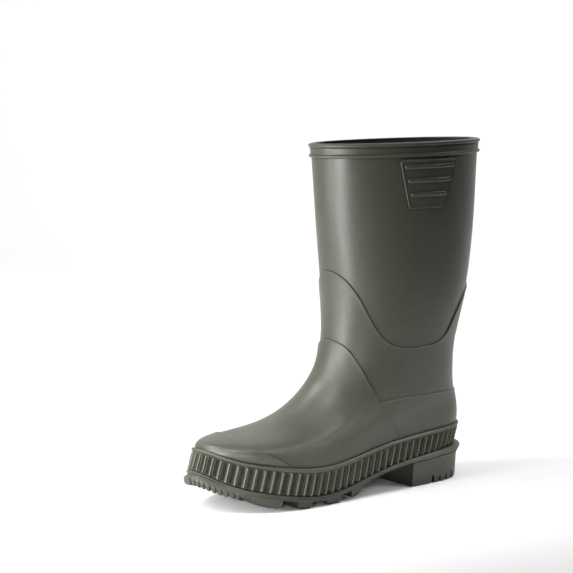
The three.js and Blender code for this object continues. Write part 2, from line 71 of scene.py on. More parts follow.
SHIFT_Y = -(SOLE_FRONT + MOUTH_BACK + RIM_PROUD) / 2

RUBBER = 2.0
ANKLE_TOP, COUNTER_TOP, VAMP_TOP, CAP_TOP = 0.85, 1.4, 1.8, 2.45
CAP_RISE, CAP_RISE_END = 3.0, 1.7
FOXING_SKIN, BEAD_SKIN = 0.95, 2.0
FOXING_FOOT = 0.7
RIBS = 83
SOLE_WALL, TOE_WALL, HEEL_WALL = 3.9, 7.2, 5.0
LUG_DEPTH = 9.9
HEEL_BREAST = 50.5
U_STEP, T_STEP = 0.02, 0.5


def smooth(x):
    x = np.clip(x, 0, 1)
    return x * x * (3 - 2 * x)


def unit(rows):
    return rows / np.linalg.norm(rows, axis=-1)[..., None]


def hermite(p0, m0, p1, m1, h, s):
    a = s * s * (3 - 2 * s)
    return p0 * (1 - a) + p1 * a + h * s * (1 - s) * ((1 - s) * m0 - s * m1)


class OpenSpline:
    """Smooth curve through values at rising knots, straight beyond both ends."""

    def __init__(self, knots, values):
        x, v = np.array(knots, float), np.array(values, float)
        h, n = np.diff(x), len(x)
        rise = np.diff(v) / h
        a, b = np.zeros((n, n)), np.zeros(n)
        a[0, 0], a[0, 1], b[0] = 2, 1, 3 * rise[0]
        a[-1, -1], a[-1, -2], b[-1] = 2, 1, 3 * rise[-1]
        for i in range(1, n - 1):
            a[i, i - 1], a[i, i + 1] = 1 / h[i - 1], 1 / h[i]
            a[i, i] = 2 * (a[i, i - 1] + a[i, i + 1])
            b[i] = 3 * (rise[i - 1] / h[i - 1] + rise[i] / h[i])
        self.x, self.v, self.h, self.m = x, v, h, np.linalg.solve(a, b)

    def __call__(self, at):
        at = np.asarray(at, float)
        i = np.clip(np.searchsorted(self.x, at, side="right") - 1, 0, len(self.h) - 1)
        s = np.clip((at - self.x[i]) / self.h[i], 0, 1)
        inside = hermite(self.v[i], self.m[i], self.v[i + 1], self.m[i + 1], self.h[i], s)
        low = np.minimum(at - self.x[0], 0) * self.m[0]
        high = np.maximum(at - self.x[-1], 0) * self.m[-1]
        return inside + low + high


UNIT = np.eye(STATIONS)
RING = 4 * UNIT + np.roll(UNIT, 1, 0) + np.roll(UNIT, -1, 0)
SLOPES = np.linalg.solve(RING, 3 * (np.roll(UNIT, -1, 0) - np.roll(UNIT, 1, 0)))


def around(values, u):
    """Closed smooth curve through twelve evenly spaced values, one row of values per u."""
    m = values @ SLOPES.T
    w = np.mod(u, STATIONS)
    i = np.floor(w).astype(int) % STATIONS
    j = (i + 1) % STATIONS
    row = np.arange(len(w))
    return hermite(values[row, i], m[row, i], values[row, j], m[row, j], 1, w - np.floor(w))


LEVELS = SECTIONS[:, 0]
FRONT, BACK = OpenSpline(LEVELS, SECTIONS[:, 1]), OpenSpline(LEVELS, SECTIONS[:, 2])
HALF = [OpenSpline(LEVELS, SECTIONS[:, k]) for k in range(3, 8)]
SHARE = (1 - np.cos(np.arange(7) * math.pi / BACK_STATION)) / 2
MIRROR = [0, 1, 2, 3, 4, 5, 6, 5, 4, 3, 2, 1]
SIDE = np.array([1] * 7 + [-1] * 5)
lift_curve = OpenSpline(LIFT_AT, LIFT)


def lift(y):
    return lift_curve(np.clip((y - SOLE_FRONT) / (SOLE_BACK - SOLE_FRONT), 0, 1))


def leg_point(u, t):
    y = FRONT(t)[:, None] + (BACK(t) - FRONT(t))[:, None] * SHARE
    half = np.stack([np.zeros_like(t)] + [w(t) for w in HALF] + [np.zeros_like(t)], 1)
    centre = CENTRE_X * np.clip(1 - t / CENTRE_FADE, 0, 1)[:, None]
    px = around((centre[:, MIRROR] + half[:, MIRROR] * SIDE), u)
    py = around(y[:, MIRROR], u)
    tilt = (RIM_TILT * (py - RIM_MIDDLE) + RIM_LEAN * px) * smooth((t - 150) / (RIM_LEVEL - 150))
    return np.stack([px, py, t + lift(py) * np.clip(1 - t / LIFT_FADE, 0, 1) + tilt], 1)


def place(u, t, depth):
    """Points at stations, levels and depths; the three arrays share one shape."""
    u, t, depth = np.broadcast_arrays(*(np.asarray(a, float) for a in (u, t, depth)))
    shape = u.shape
    u, t, depth = u.ravel(), t.ravel(), depth.ravel()
    along = leg_point(u + U_STEP, t) - leg_point(u - U_STEP, t)
    up = leg_point(u, t + T_STEP) - leg_point(u, t - T_STEP)
    normal = unit(np.cross(along, up))
    sink = SINK * (1 - smooth((t - SINK_LEVELS[0]) / (SINK_LEVELS[1] - SINK_LEVELS[0])))
    return (leg_point(u, t) + normal * (depth - sink)[:, None]).reshape(shape + (3,))


def place_on_sole(u, t, depth):
    """As place, but depth doesn't change the height over the sole's lift curve."""
    u, t, depth = np.broadcast_arrays(*(np.asarray(a, float) for a in (u, t, depth)))
    p = place(u, t, depth)
    base = leg_point(u.ravel(), t.ravel()).reshape(p.shape)
    p[..., 2] += lift(p[..., 1]) - lift(base[..., 1])
    return p


# Size, waves round the leg, level per radian and phase.
WAVES = [(0.10, 3, 23.0, 0.0), (0.07, 5, -17.0, 1.3), (0.05, 8, 11.0, 2.1)]


def undulation(u, t):
    """Slow unevenness of hand-laid rubber, well under half a millimetre."""
    angle = np.asarray(u) * math.pi / BACK_STATION
    waves = sum(size * np.sin(count * angle + t / reach + phase) for size, count, reach, phase in WAVES)
    return waves * smooth(np.asarray(t) / 40.0 - 0.3)


def sole_xy(u):
    y = np.broadcast_to(SOLE_FRONT + (SOLE_BACK - SOLE_FRONT) * SHARE, (len(u), 7))
    x = np.broadcast_to(CENTRE_X[MIRROR] + SOLE_HALF[MIRROR] * SIDE, (len(u), STATIONS))
    return np.stack([around(x, u), around(y[:, MIRROR], u)], 1)


def sole_point(u, inset):
    """Plan position on the sole's outline moved inwards; arrays share one shape."""
    u, inset = np.broadcast_arrays(np.asarray(u, float), np.asarray(inset, float))
    shape = u.shape
    u, inset = u.ravel(), inset.ravel()
    step = unit(sole_xy(u + U_STEP) - sole_xy(u - U_STEP))
    p = sole_xy(u) + np.stack([-step[:, 1], step[:, 0]], 1) * inset[:, None]
    return p.reshape(shape + (2,))


def station_at(y):
    share = np.clip((y - SOLE_FRONT) / (SOLE_BACK - SOLE_FRONT), 0, 1)
    return np.arccos(1 - 2 * share) * BACK_STATION / math.pi


# ---- seams

def from_front(u):
    w = np.mod(u, STATIONS)
    return np.minimum(w, STATIONS - w)


def seam(stations, levels):
    curve = OpenSpline(stations, levels)
    return lambda u: curve(from_front(u))


wavy_seam = seam(
    [0, 0.12, 0.4, 0.7, 1.1, 1.5, 1.9, 2.3, 2.8, 3.3, 3.7, 3.95, 4.15, 4.35, 4.6, 5, 5.5, 6],
    [156.1, 155.9, 153.9, 149.5, 137, 120.5, 108.3, 102, 99.6, 100.2, 103, 109.5, 120, 129.5, 136.5,
     141, 143.5, 144.5])
vamp_seam = seam([0, 0.15, 0.5, 0.9, 1.25, 1.7, 2.17, 2.75, 3.12, 3.45, 3.6, 3.7, 3.9, 4.4, 6],
                 [107.5, 107.3, 105.6, 99.8, 89.5, 76.3, 64.5, 48.9, 40.3, 32.1, 25, 18, 6, -6, -20])
cap_curve = seam([0, 0.4, 0.8, 1.08, 1.3, 1.55, 1.7, 1.85, 2.02, 2.2, 2.6, 6],
                 [36, 34.8, 32.6, 31, 29.6, 27, 24.4, 20.5, 14.5, 7, -6, -60])


def cap_seam(u):
    """The cap's edge runs higher over the big toe, on the inner side."""
    s = from_front(u)
    bump = np.sin(math.pi * np.clip(s / CAP_RISE_END, 0, 1)) ** 2
    return cap_curve(s) + CAP_RISE * (np.mod(u, STATIONS) > BACK_STATION) * bump


counter_seam = seam([0, 2.8, 3.2, 3.65, 4.15, 4.75, 6], [57, 57, 56.3, 55.3, 54.3, 52.5, 52])
foxing_top = seam([0, 1, 2, 3, 4, 5, 6], [18.3, 18.2, 17.3, 16.8, 16.4, 16.6, 17])


def foxing_inner(u):
    """Depth of the foxing's inner face: over the cap, then the vamp, then the counter."""
    s = from_front(u)
    return CAP_TOP + 0.15 - 0.65 * smooth((s - 2.1) / 0.3) - 0.4 * smooth((s - 4.3) / 0.4)


# ---- mesh helpers

def add_object(name, data):
    obj = bpy.data.objects.new(name, data)
    bpy.context.scene.collection.objects.link(obj)
    return obj


def new_object(name, points, faces, smooth_shading=True, uv=None):
    """Mesh object from points in millimetres, with its faces turned outwards."""
    points = (np.asarray(points, float).reshape(-1, 3) + [0, SHIFT_Y, 0]) * MM
    mesh = bpy.data.meshes.new(name)
    mesh.from_pydata(points.tolist(), [], [list(map(int, f)) for f in faces])
    if uv is not None:
        layer = mesh.uv_layers.new(name="cloth")
        index = np.empty(len(mesh.loops), int)
        mesh.loops.foreach_get("vertex_index", index)
        layer.data.foreach_set("uv", np.asarray(uv, float).reshape(-1, 2)[index].ravel())
    mesh.validate()
    mesh.polygons.foreach_set("use_smooth", [smooth_shading] * len(mesh.polygons))
    mesh.update()
    solid = bmesh.new()
    solid.from_mesh(mesh)
    if solid.calc_volume(signed=True) < 0:
        mesh.flip_normals()
    solid.free()
    return add_object(name, mesh)


def grid_faces(rows, cols, wrap_rows, wrap_cols, start=0):
    i = np.arange(rows if wrap_rows else rows - 1)[:, None]
    j = np.arange(cols if wrap_cols else cols - 1)[None, :]
    a, b = i * cols + j, i * cols + (j + 1) % cols
    c, d = ((i + 1) % rows) * cols + (j + 1) % cols, ((i + 1) % rows) * cols + j
    return np.stack([a, b, c, d], 2).reshape(-1, 4) + start


def ring_object(name, us, depth, level, at=place, uv=False):
    """Closed ring: depth and level have a row for each profile point, one column or one a station."""
    u, depth, level = np.broadcast_arrays(us, depth, level)
    points = at(u, level, depth)
    coords = None
    if uv:
        step = np.linalg.norm(np.roll(points, -1, 1) - points, axis=2)
        coords = np.stack([np.cumsum(step, 1) * MM, level * MM], 2)
    return new_object(name, points, grid_faces(*depth.shape, True, True), uv=coords)


def sheet_object(name, u, t, outer, inner):
    """Closed sheet over a grid of stations and levels, between two depths."""
    rows, cols = u.shape
    points = np.concatenate([place(u, t, outer), place(u, t, inner)])
    faces = grid_faces(rows, cols, False, False).tolist()
    base = rows * cols
    faces += [f[::-1] for f in grid_faces(rows, cols, False, False, base).tolist()]
    loop = ([(0, j) for j in range(cols)] + [(i, cols - 1) for i in range(1, rows)]
            + [(rows - 1, j) for j in range(cols - 2, -1, -1)] + [(i, 0) for i in range(rows - 2, 0, -1)])
    ids = [i * cols + j for i, j in loop]
    for a, b in zip(ids, ids[1:] + ids[:1]):
        faces.append([b, a, a + base, b + base])
    return new_object(name, points, faces)


GIRTH_LEVEL, GIRTH_DEPTH = 8.0, 4.0


def girth_stations(count):
    """Stations that divide the girth at the foxing into equal lengths, and the length of one."""
    fine = np.linspace(0, STATIONS, 4801)
    p = place(fine, GIRTH_LEVEL, GIRTH_DEPTH)
    run = np.concatenate([[0], np.cumsum(np.linalg.norm(np.diff(p, axis=0), axis=1))])
    return np.interp(np.arange(count) * run[-1] / count, run, fine), run[-1] / count


# ---- upper

def columns(count):
    return np.arange(count) * STATIONS / count


def seam_edge(us, level_of, drops, span):
    """Stations and levels of rows at the given distances below a seam, measured square to it."""
    slope = (level_of(us + 0.01) - level_of(us - 0.01)) / (0.02 * span)
    size = np.sqrt(1 + slope ** 2)
    rows_u = us[None, :] + drops[:, None] * (slope / size)[None, :] / span
    rows_t = level_of(us)[None, :] - drops[:, None] / size[None, :]
    return rows_u, rows_t


# Rows of a layer's edge: distance under the seam, share of the layer's height and added ridge.
EDGE_DROPS = np.array([3.0, 1.6, 1.0, 0.62, 0.36, 0.18, 0.06, 0.0])
EDGE_RISE = np.array([1.0, 1.0, 0.985, 0.95, 0.88, 0.7, 0.35, -0.25])
EDGE_RIDGE = np.array([0.0, 0.0, 0.09, 0.24, 0.28, 0.2, 0.05, 0.0])


def overlay_object(name, us, foot, top, under, face, span, rows, closed):
    """Rubber layer from foot(u) up to a seam, with a rounded edge that dies into what lies under it."""
    edge_u, edge_t = seam_edge(us, top, EDGE_DROPS, span)
    share = np.linspace(0, 1, rows, endpoint=False)[:, None]
    foot_t = foot(us)
    body_t = foot_t + (edge_t[0] - foot_t) * share
    body_u = us + (edge_u[0] - us) * share ** 2
    u = np.concatenate([body_u, edge_u])
    t = np.concatenate([body_t, edge_t])
    below_layer = under(u)
    lip = np.concatenate([np.ones(rows), EDGE_RISE])[:, None]
    ridge = np.concatenate([np.zeros(rows), EDGE_RIDGE])[:, None]
    outer = below_layer + (face - below_layer) * lip + ridge + undulation(u, t)
    inner = np.minimum(below_layer - 0.25, outer - 0.05)
    if closed:
        depth = np.concatenate([outer, inner[::-1]])
        level = np.concatenate([t, t[::-1]])
        stations = np.concatenate([u, u[::-1]])
        points = place(stations, level, depth)
        return new_object(name, points, grid_faces(*depth.shape, True, True))
    return sheet_object(name, u, t, outer, inner)


LEG_FOOT, LEG_BEND, LEG_TOP = 0.3, 96, 242.6
LAYER_FOOT, ANKLE_OVERLAP = 1.5, 6.0
LEG_SPAN, VAMP_SPAN, CAP_SPAN = 18.0, 19.0, 26.0
COUNTER_START, VAMP_END, CAP_END = 2.3, 4.02, 2.12
LINING_FOOT, LINING_TOP = 5.6, 243.2
LINING_INNER, LINING_OUTER = -3.2, -2.2


def flat(value):
    return lambda u: 0 * u + value


def leg_rubber():
    us = columns(264)
    levels = np.concatenate([np.linspace(LEG_FOOT, LEG_BEND, 40, endpoint=False),
                             np.linspace(LEG_BEND, LEG_TOP, 90)])
    inner_levels = np.linspace(LEG_TOP, LEG_FOOT, 30)
    outer = undulation(us[None, :], levels[:, None])
    depth = np.concatenate([outer, np.full((len(inner_levels), len(us)), -RUBBER)])
    return ring_object("leg_rubber", us, depth, np.concatenate([levels, inner_levels])[:, None])


def ankle_rubber():
    foot = lambda u: np.maximum(vamp_seam(u), counter_seam(u)) - ANKLE_OVERLAP
    return overlay_object("ankle_rubber", columns(480), foot, wavy_seam, flat(0.0), ANKLE_TOP,
                          LEG_SPAN, 40, True)


def counter_rubber():
    us = np.linspace(COUNTER_START, STATIONS - COUNTER_START, 260)
    return overlay_object("counter_rubber", us, flat(LAYER_FOOT), counter_seam, flat(ANKLE_TOP),
                          COUNTER_TOP, LEG_SPAN, 30, False)


def vamp_rubber():
    us = np.linspace(-VAMP_END, VAMP_END, 420)
    under = lambda u: ANKLE_TOP + (COUNTER_TOP - ANKLE_TOP) * smooth((from_front(u) - 2.38) / 0.14)
    return overlay_object("vamp_rubber", us, flat(LAYER_FOOT), vamp_seam, under, VAMP_TOP,
                          VAMP_SPAN, 70, False)


def cap_rubber():
    us = np.linspace(-CAP_END, CAP_END, 240)
    return overlay_object("cap_rubber", us, flat(LAYER_FOOT), cap_seam, flat(VAMP_TOP), CAP_TOP,
                          CAP_SPAN, 26, False)


def lining_cloth():
    inner = np.linspace(LINING_FOOT, LINING_TOP, 110)
    outer = inner[::-1][::6]
    depth = np.repeat([LINING_INNER, LINING_OUTER], [len(inner), len(outer)])[:, None]
    level = np.concatenate([inner, outer])[:, None]
    return ring_object("lining_cloth", columns(180), depth, level, uv=True)


# ---- rim

def profile_ring(name, profile):
    """Ring with the same profile of (depth, level) all the way round."""
    depth, level = np.array(profile, float).T[:, :, None]
    return ring_object(name, columns(240), depth, level)


def arc(centre, radius, start, stop, steps):
    """Profile points on an arc, angles in degrees, 0 outwards and 90 up."""
    angles = np.radians(np.linspace(start, stop, steps))
    return [(centre[0] + radius * math.cos(a), centre[1] + radius * math.sin(a)) for a in angles]


def rim_binding():
    profile = [(-0.3, 234.9), (0.4, 234.95)] + arc((0.7, 236.15), 1.15, -75, 80, 12) + [
        (0.75, 237.5), (0.6, 237.8), (0.62, 238.5), (0.7, 240.0), (0.7, 241.6), (0.55, 242.1),
        (-0.3, 242.3)]
    return profile_ring("rim_binding", profile)


def rim_roll():
    profile = ([(-2.4, 241.8), (0.4, 242.0)] + arc((0.55, 243.4), 1.25, -80, 70, 12)
               + [(0.1, 244.85), (-0.9, 245.0), (-1.7, 244.9)] + arc((-1.9, 244.1), 0.8, 80, 200, 8))
    return profile_ring("rim_roll", profile)


# ---- patches

PATCH_STATION, PATCH_LEVEL = 2.83, 216.5
PATCH_FOOT, PATCH_TOP = 199.4, 233.6
# Stations at the front and back of its foot and of its top, and of each bar with its level.
PATCH_FOOT_ENDS, PATCH_TOP_ENDS = (2.3, 3.24), (2.1, 3.59)
PATCH_BARS = [(228.1, 2.25, 3.42), (218.6, 2.32, 3.32), (209.1, 2.39, 3.19)]
PATCH_CORNER, PATCH_FACE = 3.0, 0.6
PATCH_RINGS = [(0, -0.2), (0.05, 0.35), (0.2, 0.72), (0.45, 0.95), (0.75, 1.0), (1.05, 0.93),
               (1.3, 0.75), (1.6, 0.62), (2.2, PATCH_FACE)]
BAR_RADIUS, BAR_HEIGHT, BAR_BASE, BAR_SUNK = 1.65, 1.5, 0.4, 0.35
TAB_LEVEL, TAB_HALF_WIDTH, TAB_HALF_HEIGHT, TAB_CORNER, TAB_FACE = 230.6, 7, 3.4, 1.6, 1.95
TAB_RINGS = [(0, -0.2), (0.05, 0.7), (0.2, 1.3), (0.5, 1.7), (0.9, 1.9), (1.4, TAB_FACE)]
PAD_BACK = -0.3


def station_width(station, level):
    a, b = place(np.array([station - 0.1, station + 0.1]), np.full(2, level), np.zeros(2))
    return float(np.linalg.norm(b - a)) / 0.2


def rounded_outline(corners, radius, per_corner=9, per_side=10):
    """Closed outline through corners (counter-clockwise) with rounded turns."""
    n = len(corners)
    corners = np.array(corners, float)
    turns = []
    for k in range(n):
        here = corners[k]
        into, out = unit(corners[k - 1] - here), unit(corners[(k + 1) % n] - here)
        half = math.acos(float(np.clip(np.dot(into, out), -1, 1))) / 2
        middle = here + unit(into + out) * radius / math.sin(half)
        reach = radius / math.tan(half)
        turns.append((here + into * reach, middle, here + out * reach))
    points = []
    for k, (a, middle, b) in enumerate(turns):
        for s in np.linspace(0, 1, per_corner):
            points.append(middle + unit((a - middle) * (1 - s) + (b - middle) * s) * radius)
        end = turns[(k + 1) % n][0]
        for s in np.linspace(0, 1, per_side + 1)[1:-1]:
            points.append(b * (1 - s) + end * s)
    return np.array(points)


def inset_outline(points, distance):
    run = unit(np.roll(points, -1, 0) - np.roll(points, 1, 0))
    return points + np.stack([-run[:, 1], run[:, 0]], 1) * distance


def pad_object(name, outline, rings, to_surface):
    """Raised pad: rings are (inset, depth) from the edge inwards, then the field closes on its middle."""
    centre_depth = rings[-1][1]
    loops = [inset_outline(outline, inset) for inset, _ in rings]
    depths = [depth for _, depth in rings]
    middle = loops[-1].mean(0)
    for f in (0.88, 0.74, 0.6, 0.46, 0.32, 0.18, 0.06):
        loops.append(middle + (loops[len(rings) - 1] - middle) * f)
        depths.append(centre_depth)
    n = len(outline)
    points = [to_surface(loop, depth) for loop, depth in zip(loops, depths)]
    points.append(to_surface(middle[None, :], centre_depth))
    back = [to_surface(loop, PAD_BACK) for loop in loops]
    back.append(to_surface(middle[None, :], PAD_BACK))
    count = len(loops) * n + 1
    faces = grid_faces(len(loops), n, False, True).tolist()
    last = (len(loops) - 1) * n
    faces += [[last + j, last + (j + 1) % n, count - 1] for j in range(n)]
    faces += [[v + count for v in f[::-1]] for f in list(faces)]
    faces += [[(j + 1) % n, j, j + count, (j + 1) % n + count] for j in range(n)]
    return new_object(name, np.concatenate(points + back), faces)


def patch_surface(side):
    width = station_width(PATCH_STATION, PATCH_LEVEL)

    def to_surface(loop, depth):
        u = PATCH_STATION + loop[:, 0] / width
        u = u if side > 0 else STATIONS - u
        level = PATCH_LEVEL + loop[:, 1]
        return place(u, level, depth + undulation(u, level))

    return to_surface, width


def bar_points(a, b, to_surface):
    """Round-ended raised bar between two places on the patch."""
    a, b = np.array(a, float), np.array(b, float)
    length = np.linalg.norm(b - a)
    run = (b - a) / length
    side = np.array([-run[1], run[0]])
    quarter = np.linspace(0, math.pi / 2, 9)
    reach = np.concatenate([-BAR_RADIUS * np.cos(quarter), np.linspace(0, length, 22)[1:-1],
                            length + BAR_RADIUS * np.sin(quarter)])
    over = np.clip(np.maximum(-reach, reach - length), 0, BAR_RADIUS)
    half = np.sqrt(np.maximum(BAR_RADIUS ** 2 - over ** 2, 0.0004))
    line = a + run * reach[:, None]
    rows = []
    for k in np.linspace(0, math.pi, 11):
        height = BAR_BASE + BAR_HEIGHT * math.sin(k) ** 0.8 * (half / BAR_RADIUS)
        rows.append(to_surface(line + side * (half * math.cos(k))[:, None], height))
    for way in (-0.5, 0.5):
        rows.append(to_surface(line + side * (half * way)[:, None], BAR_BASE - BAR_SUNK))
    return rows


BARS = []


def patch_object(name, side):
    to_surface, width = patch_surface(side)
    at = lambda station, level: ((station - PATCH_STATION) * width, level - PATCH_LEVEL)
    (foot_a, foot_b), (top_a, top_b) = PATCH_FOOT_ENDS, PATCH_TOP_ENDS
    corners = [at(foot_a, PATCH_FOOT), at(foot_b, PATCH_FOOT), at(top_b, PATCH_TOP), at(top_a, PATCH_TOP)]
    plate = pad_object(name, rounded_outline(corners, PATCH_CORNER), PATCH_RINGS, to_surface)
    for number, (level, a, b) in enumerate(PATCH_BARS):
        rows = bar_points(at(a, level), at(b, level), to_surface)
        cols = len(rows[0])
        faces = grid_faces(len(rows), cols, True, False).tolist()
        faces.append([i * cols for i in range(len(rows))][::-1])
        faces.append([i * cols + cols - 1 for i in range(len(rows))])
        bar = new_object(f"{name}_bar_{number + 1}", np.concatenate(rows), faces)
        bar.parent = plate
        BARS.append(bar)
    return plate


def tab_object():
    width = station_width(BACK_STATION, 230)
    to_surface = lambda loop, depth: place(BACK_STATION + loop[:, 0] / width, TAB_LEVEL + loop[:, 1], depth)
    x, y = TAB_HALF_WIDTH, TAB_HALF_HEIGHT
    outline = rounded_outline([(-x, -y), (x, -y), (x, y), (-x, y)], TAB_CORNER)
    return pad_object("pull_tab", outline, TAB_RINGS, to_surface)


# ---- foxing

# A rib's section: share of the pitch and height, from 0 to RIB_SHARE.
RIB_SHARE = 0.2
RIB_PROFILE = [(0.0, -0.35), (0.004, 0.3), (0.035, 0.72), (0.1, 0.9), (0.165, 0.72), (0.196, 0.3),
               (RIB_SHARE, -0.35)]
PANEL_COLUMNS, KNURL_ROWS = 6, 20
KNURL, KNURL_BESIDE_RIB = 1.1, 0.45
PANEL_DEPTH = 0.35
FOXING_SUNK = 0.6
ROPE_PITCH, ROPE_SLANT, ROPE_HEIGHT = 1.45, 4.5, 0.11
BEAD_OVER, BEAD_HALF = 2.05, 1.7


def foxing_strip():
    starts = girth_stations(RIBS)[0]
    nexts = np.append(starts[1:], float(STATIONS))
    panel = np.linspace(RIB_SHARE, 1.0, PANEL_COLUMNS + 1)[1:-1]
    shares = np.array([s for s, _ in RIB_PROFILE] + panel.tolist())
    u = (starts[:, None] + (nexts - starts)[:, None] * shares[None, :]).ravel()
    height = np.tile([h for _, h in RIB_PROFILE] + [0.0] * len(panel), RIBS)
    on_panel = np.tile([0] * len(RIB_PROFILE) + [1] * len(panel), RIBS)
    middle = [KNURL_BESIDE_RIB] + [1.0] * (len(panel) - 2) + [KNURL_BESIDE_RIB]
    knurl = KNURL * np.tile([0.0] * len(RIB_PROFILE) + middle, RIBS)
    column = np.tile(np.arange(len(shares)), RIBS)
    v = np.linspace(0, 1, KNURL_ROWS + 1)[:, None]
    face = foxing_inner(u) + FOXING_SKIN
    foot_line = place_on_sole(u, FOXING_FOOT, face + 0.1)
    top_line = place_on_sole(u, foxing_top(u), face)
    base = foot_line + (top_line - foot_line) * v[:, :, None]
    along = np.roll(foot_line, -1, 0) - np.roll(foot_line, 1, 0)
    normal = unit(np.cross(along, top_line - foot_line))
    checker = (column[None, :] + np.arange(len(v))[:, None]) % 2
    fade = smooth(v / 0.06) * smooth((1 - v) / 0.06)
    rear = smooth((from_front(u) - 1.7) / 0.8)
    foot_cut = 1 - smooth(v / (0.05 + 0.07 * rear))
    top_cut = 1 - smooth((1 - v) / 0.05)
    cuts = PANEL_DEPTH + (0.4 + 1.1 * rear) * foot_cut + 0.5 * top_cut
    out = on_panel * (knurl * (checker - 0.5) * fade - cuts)
    out = out + height[None, :] * (1 - 0.3 * (1 - smooth(v / 0.04)) - 0.6 * (1 - smooth((1 - v) / 0.05)))
    outer = base + normal * out[:, :, None]
    inner_top = place_on_sole(u, foxing_top(u) + 0.2, foxing_inner(u) - FOXING_SUNK)
    inner_foot = place_on_sole(u, FOXING_FOOT - 0.1, foxing_inner(u) - FOXING_SUNK)
    points = np.concatenate([outer, inner_top[None], inner_foot[None]])
    n_rows, n_cols = points.shape[:2]
    faces = []
    for i in range(n_rows):
        for j in range(n_cols):
            a, b = i * n_cols + j, i * n_cols + (j + 1) % n_cols
            d, c = ((i + 1) % n_rows) * n_cols + j, ((i + 1) % n_rows) * n_cols + (j + 1) % n_cols
            if i < len(v) - 1 and on_panel[j]:
                low_ac = (column[j] + i) % 2 == 0
                faces += [[a, b, c], [a, c, d]] if low_ac else [[a, b, d], [b, c, d]]
            else:
                faces.append([a, b, c, d])
    strip = new_object("foxing_strip", points, faces)
    shade_by_angle(strip, 24)
    return strip


def foxing_roll():
    us, pitch = girth_stations(2000)
    angle = np.radians(np.linspace(-100, 130, 14))[:, None]
    inner = foxing_inner(us)[None, :]
    turns = (np.arange(len(us)) * pitch / ROPE_PITCH)[None, :]
    rope = ROPE_HEIGHT * np.sin(2 * math.pi * turns + ROPE_SLANT * np.sin(angle))
    weight = 0.35 + 0.65 * (1 - smooth((from_front(us) - 1.0) / 1.2))[None, :]
    middle_depth = inner + BEAD_SKIN / 2 - 0.2
    depth = middle_depth + (BEAD_SKIN / 2 + 0.1 + rope * weight) * np.cos(angle)
    level = foxing_top(us)[None, :] + BEAD_OVER + (BEAD_HALF + rope * weight) * np.sin(angle)
    depth = np.concatenate([depth, inner - FOXING_SUNK, inner - FOXING_SUNK])
    level = np.concatenate([level, foxing_top(us)[None, :] + 3.4, foxing_top(us)[None, :] + 0.5])
    return ring_object("foxing_roll", us, depth, level, place_on_sole)


# ---- sole

def wall_height(y):
    toe = 1 - smooth((y - SOLE_FRONT) / 38)
    return SOLE_WALL + (TOE_WALL - SOLE_WALL) * toe + (HEEL_WALL - SOLE_WALL) * smooth((y - 40) / 30)


def tread_level(y):
    return np.maximum(0, lift(y) - LUG_DEPTH)


# Section of the sole's edge from its ledge down: share of its height, then the inset from the
# outline at the toe (lip, groove and flaring skirt), at the ball and arch (lip over a hollow) and
# at the heel (bulge).
EDGE_SECTION = [
    (0.0, 4.9, 4.9, 4.9), (0.0, 2.6, 1.2, 2.3), (0.03, 2.2, 0.6, 1.6), (0.07, 2.1, 0.2, 1.0),
    (0.13, 2.2, 0.08, 0.5), (0.19, 2.75, 0.3, 0.2), (0.28, 3.0, 0.85, 0.03), (0.4, 2.6, 1.2, 0.0),
    (0.52, 1.9, 1.3, 0.1), (0.64, 1.25, 1.25, 0.35), (0.74, 0.75, 1.15, 0.7), (0.83, 0.4, 0.95, 1.1),
    (0.9, 0.2, 0.8, 1.5), (0.96, 0.15, 0.85, 1.9), (1.0, 0.4, 1.4, 2.3)]
# The teeth under the edge: distance inwards and share of TOOTH_DEPTH.
TOOTH_SECTION = [(0.25, 0.5), (0.6, 0.85), (1.5, 1.0), (2.8, 0.95), (3.8, 0.5), (4.2, 0.0)]
TOOTH_PITCH, TOOTH_DEPTH, TOOTH_GAP = 4.3, 3.0, 0.9
TEETH_END = 1.1
ARCH = (3.0, 49.0)
ARCH_TICK, ARCH_TICK_DEPTH = 1.45, 0.4


def slab_stations():
    """Stations for the sole's edge, closer together round the toe, mirrored side to side."""
    fine = np.linspace(0, 1.3, 230, endpoint=False)
    coarse = np.linspace(1.3, BACK_STATION, 330)
    half = np.concatenate([fine, coarse])
    return np.concatenate([half, (STATIONS - half[1:-1])[::-1]])


def run_along(us):
    """Length along the sole's outline from the front, in millimetres."""
    plan = sole_xy(us)
    return np.concatenate([[0], np.cumsum(np.linalg.norm(np.diff(plan, axis=0), axis=1))])


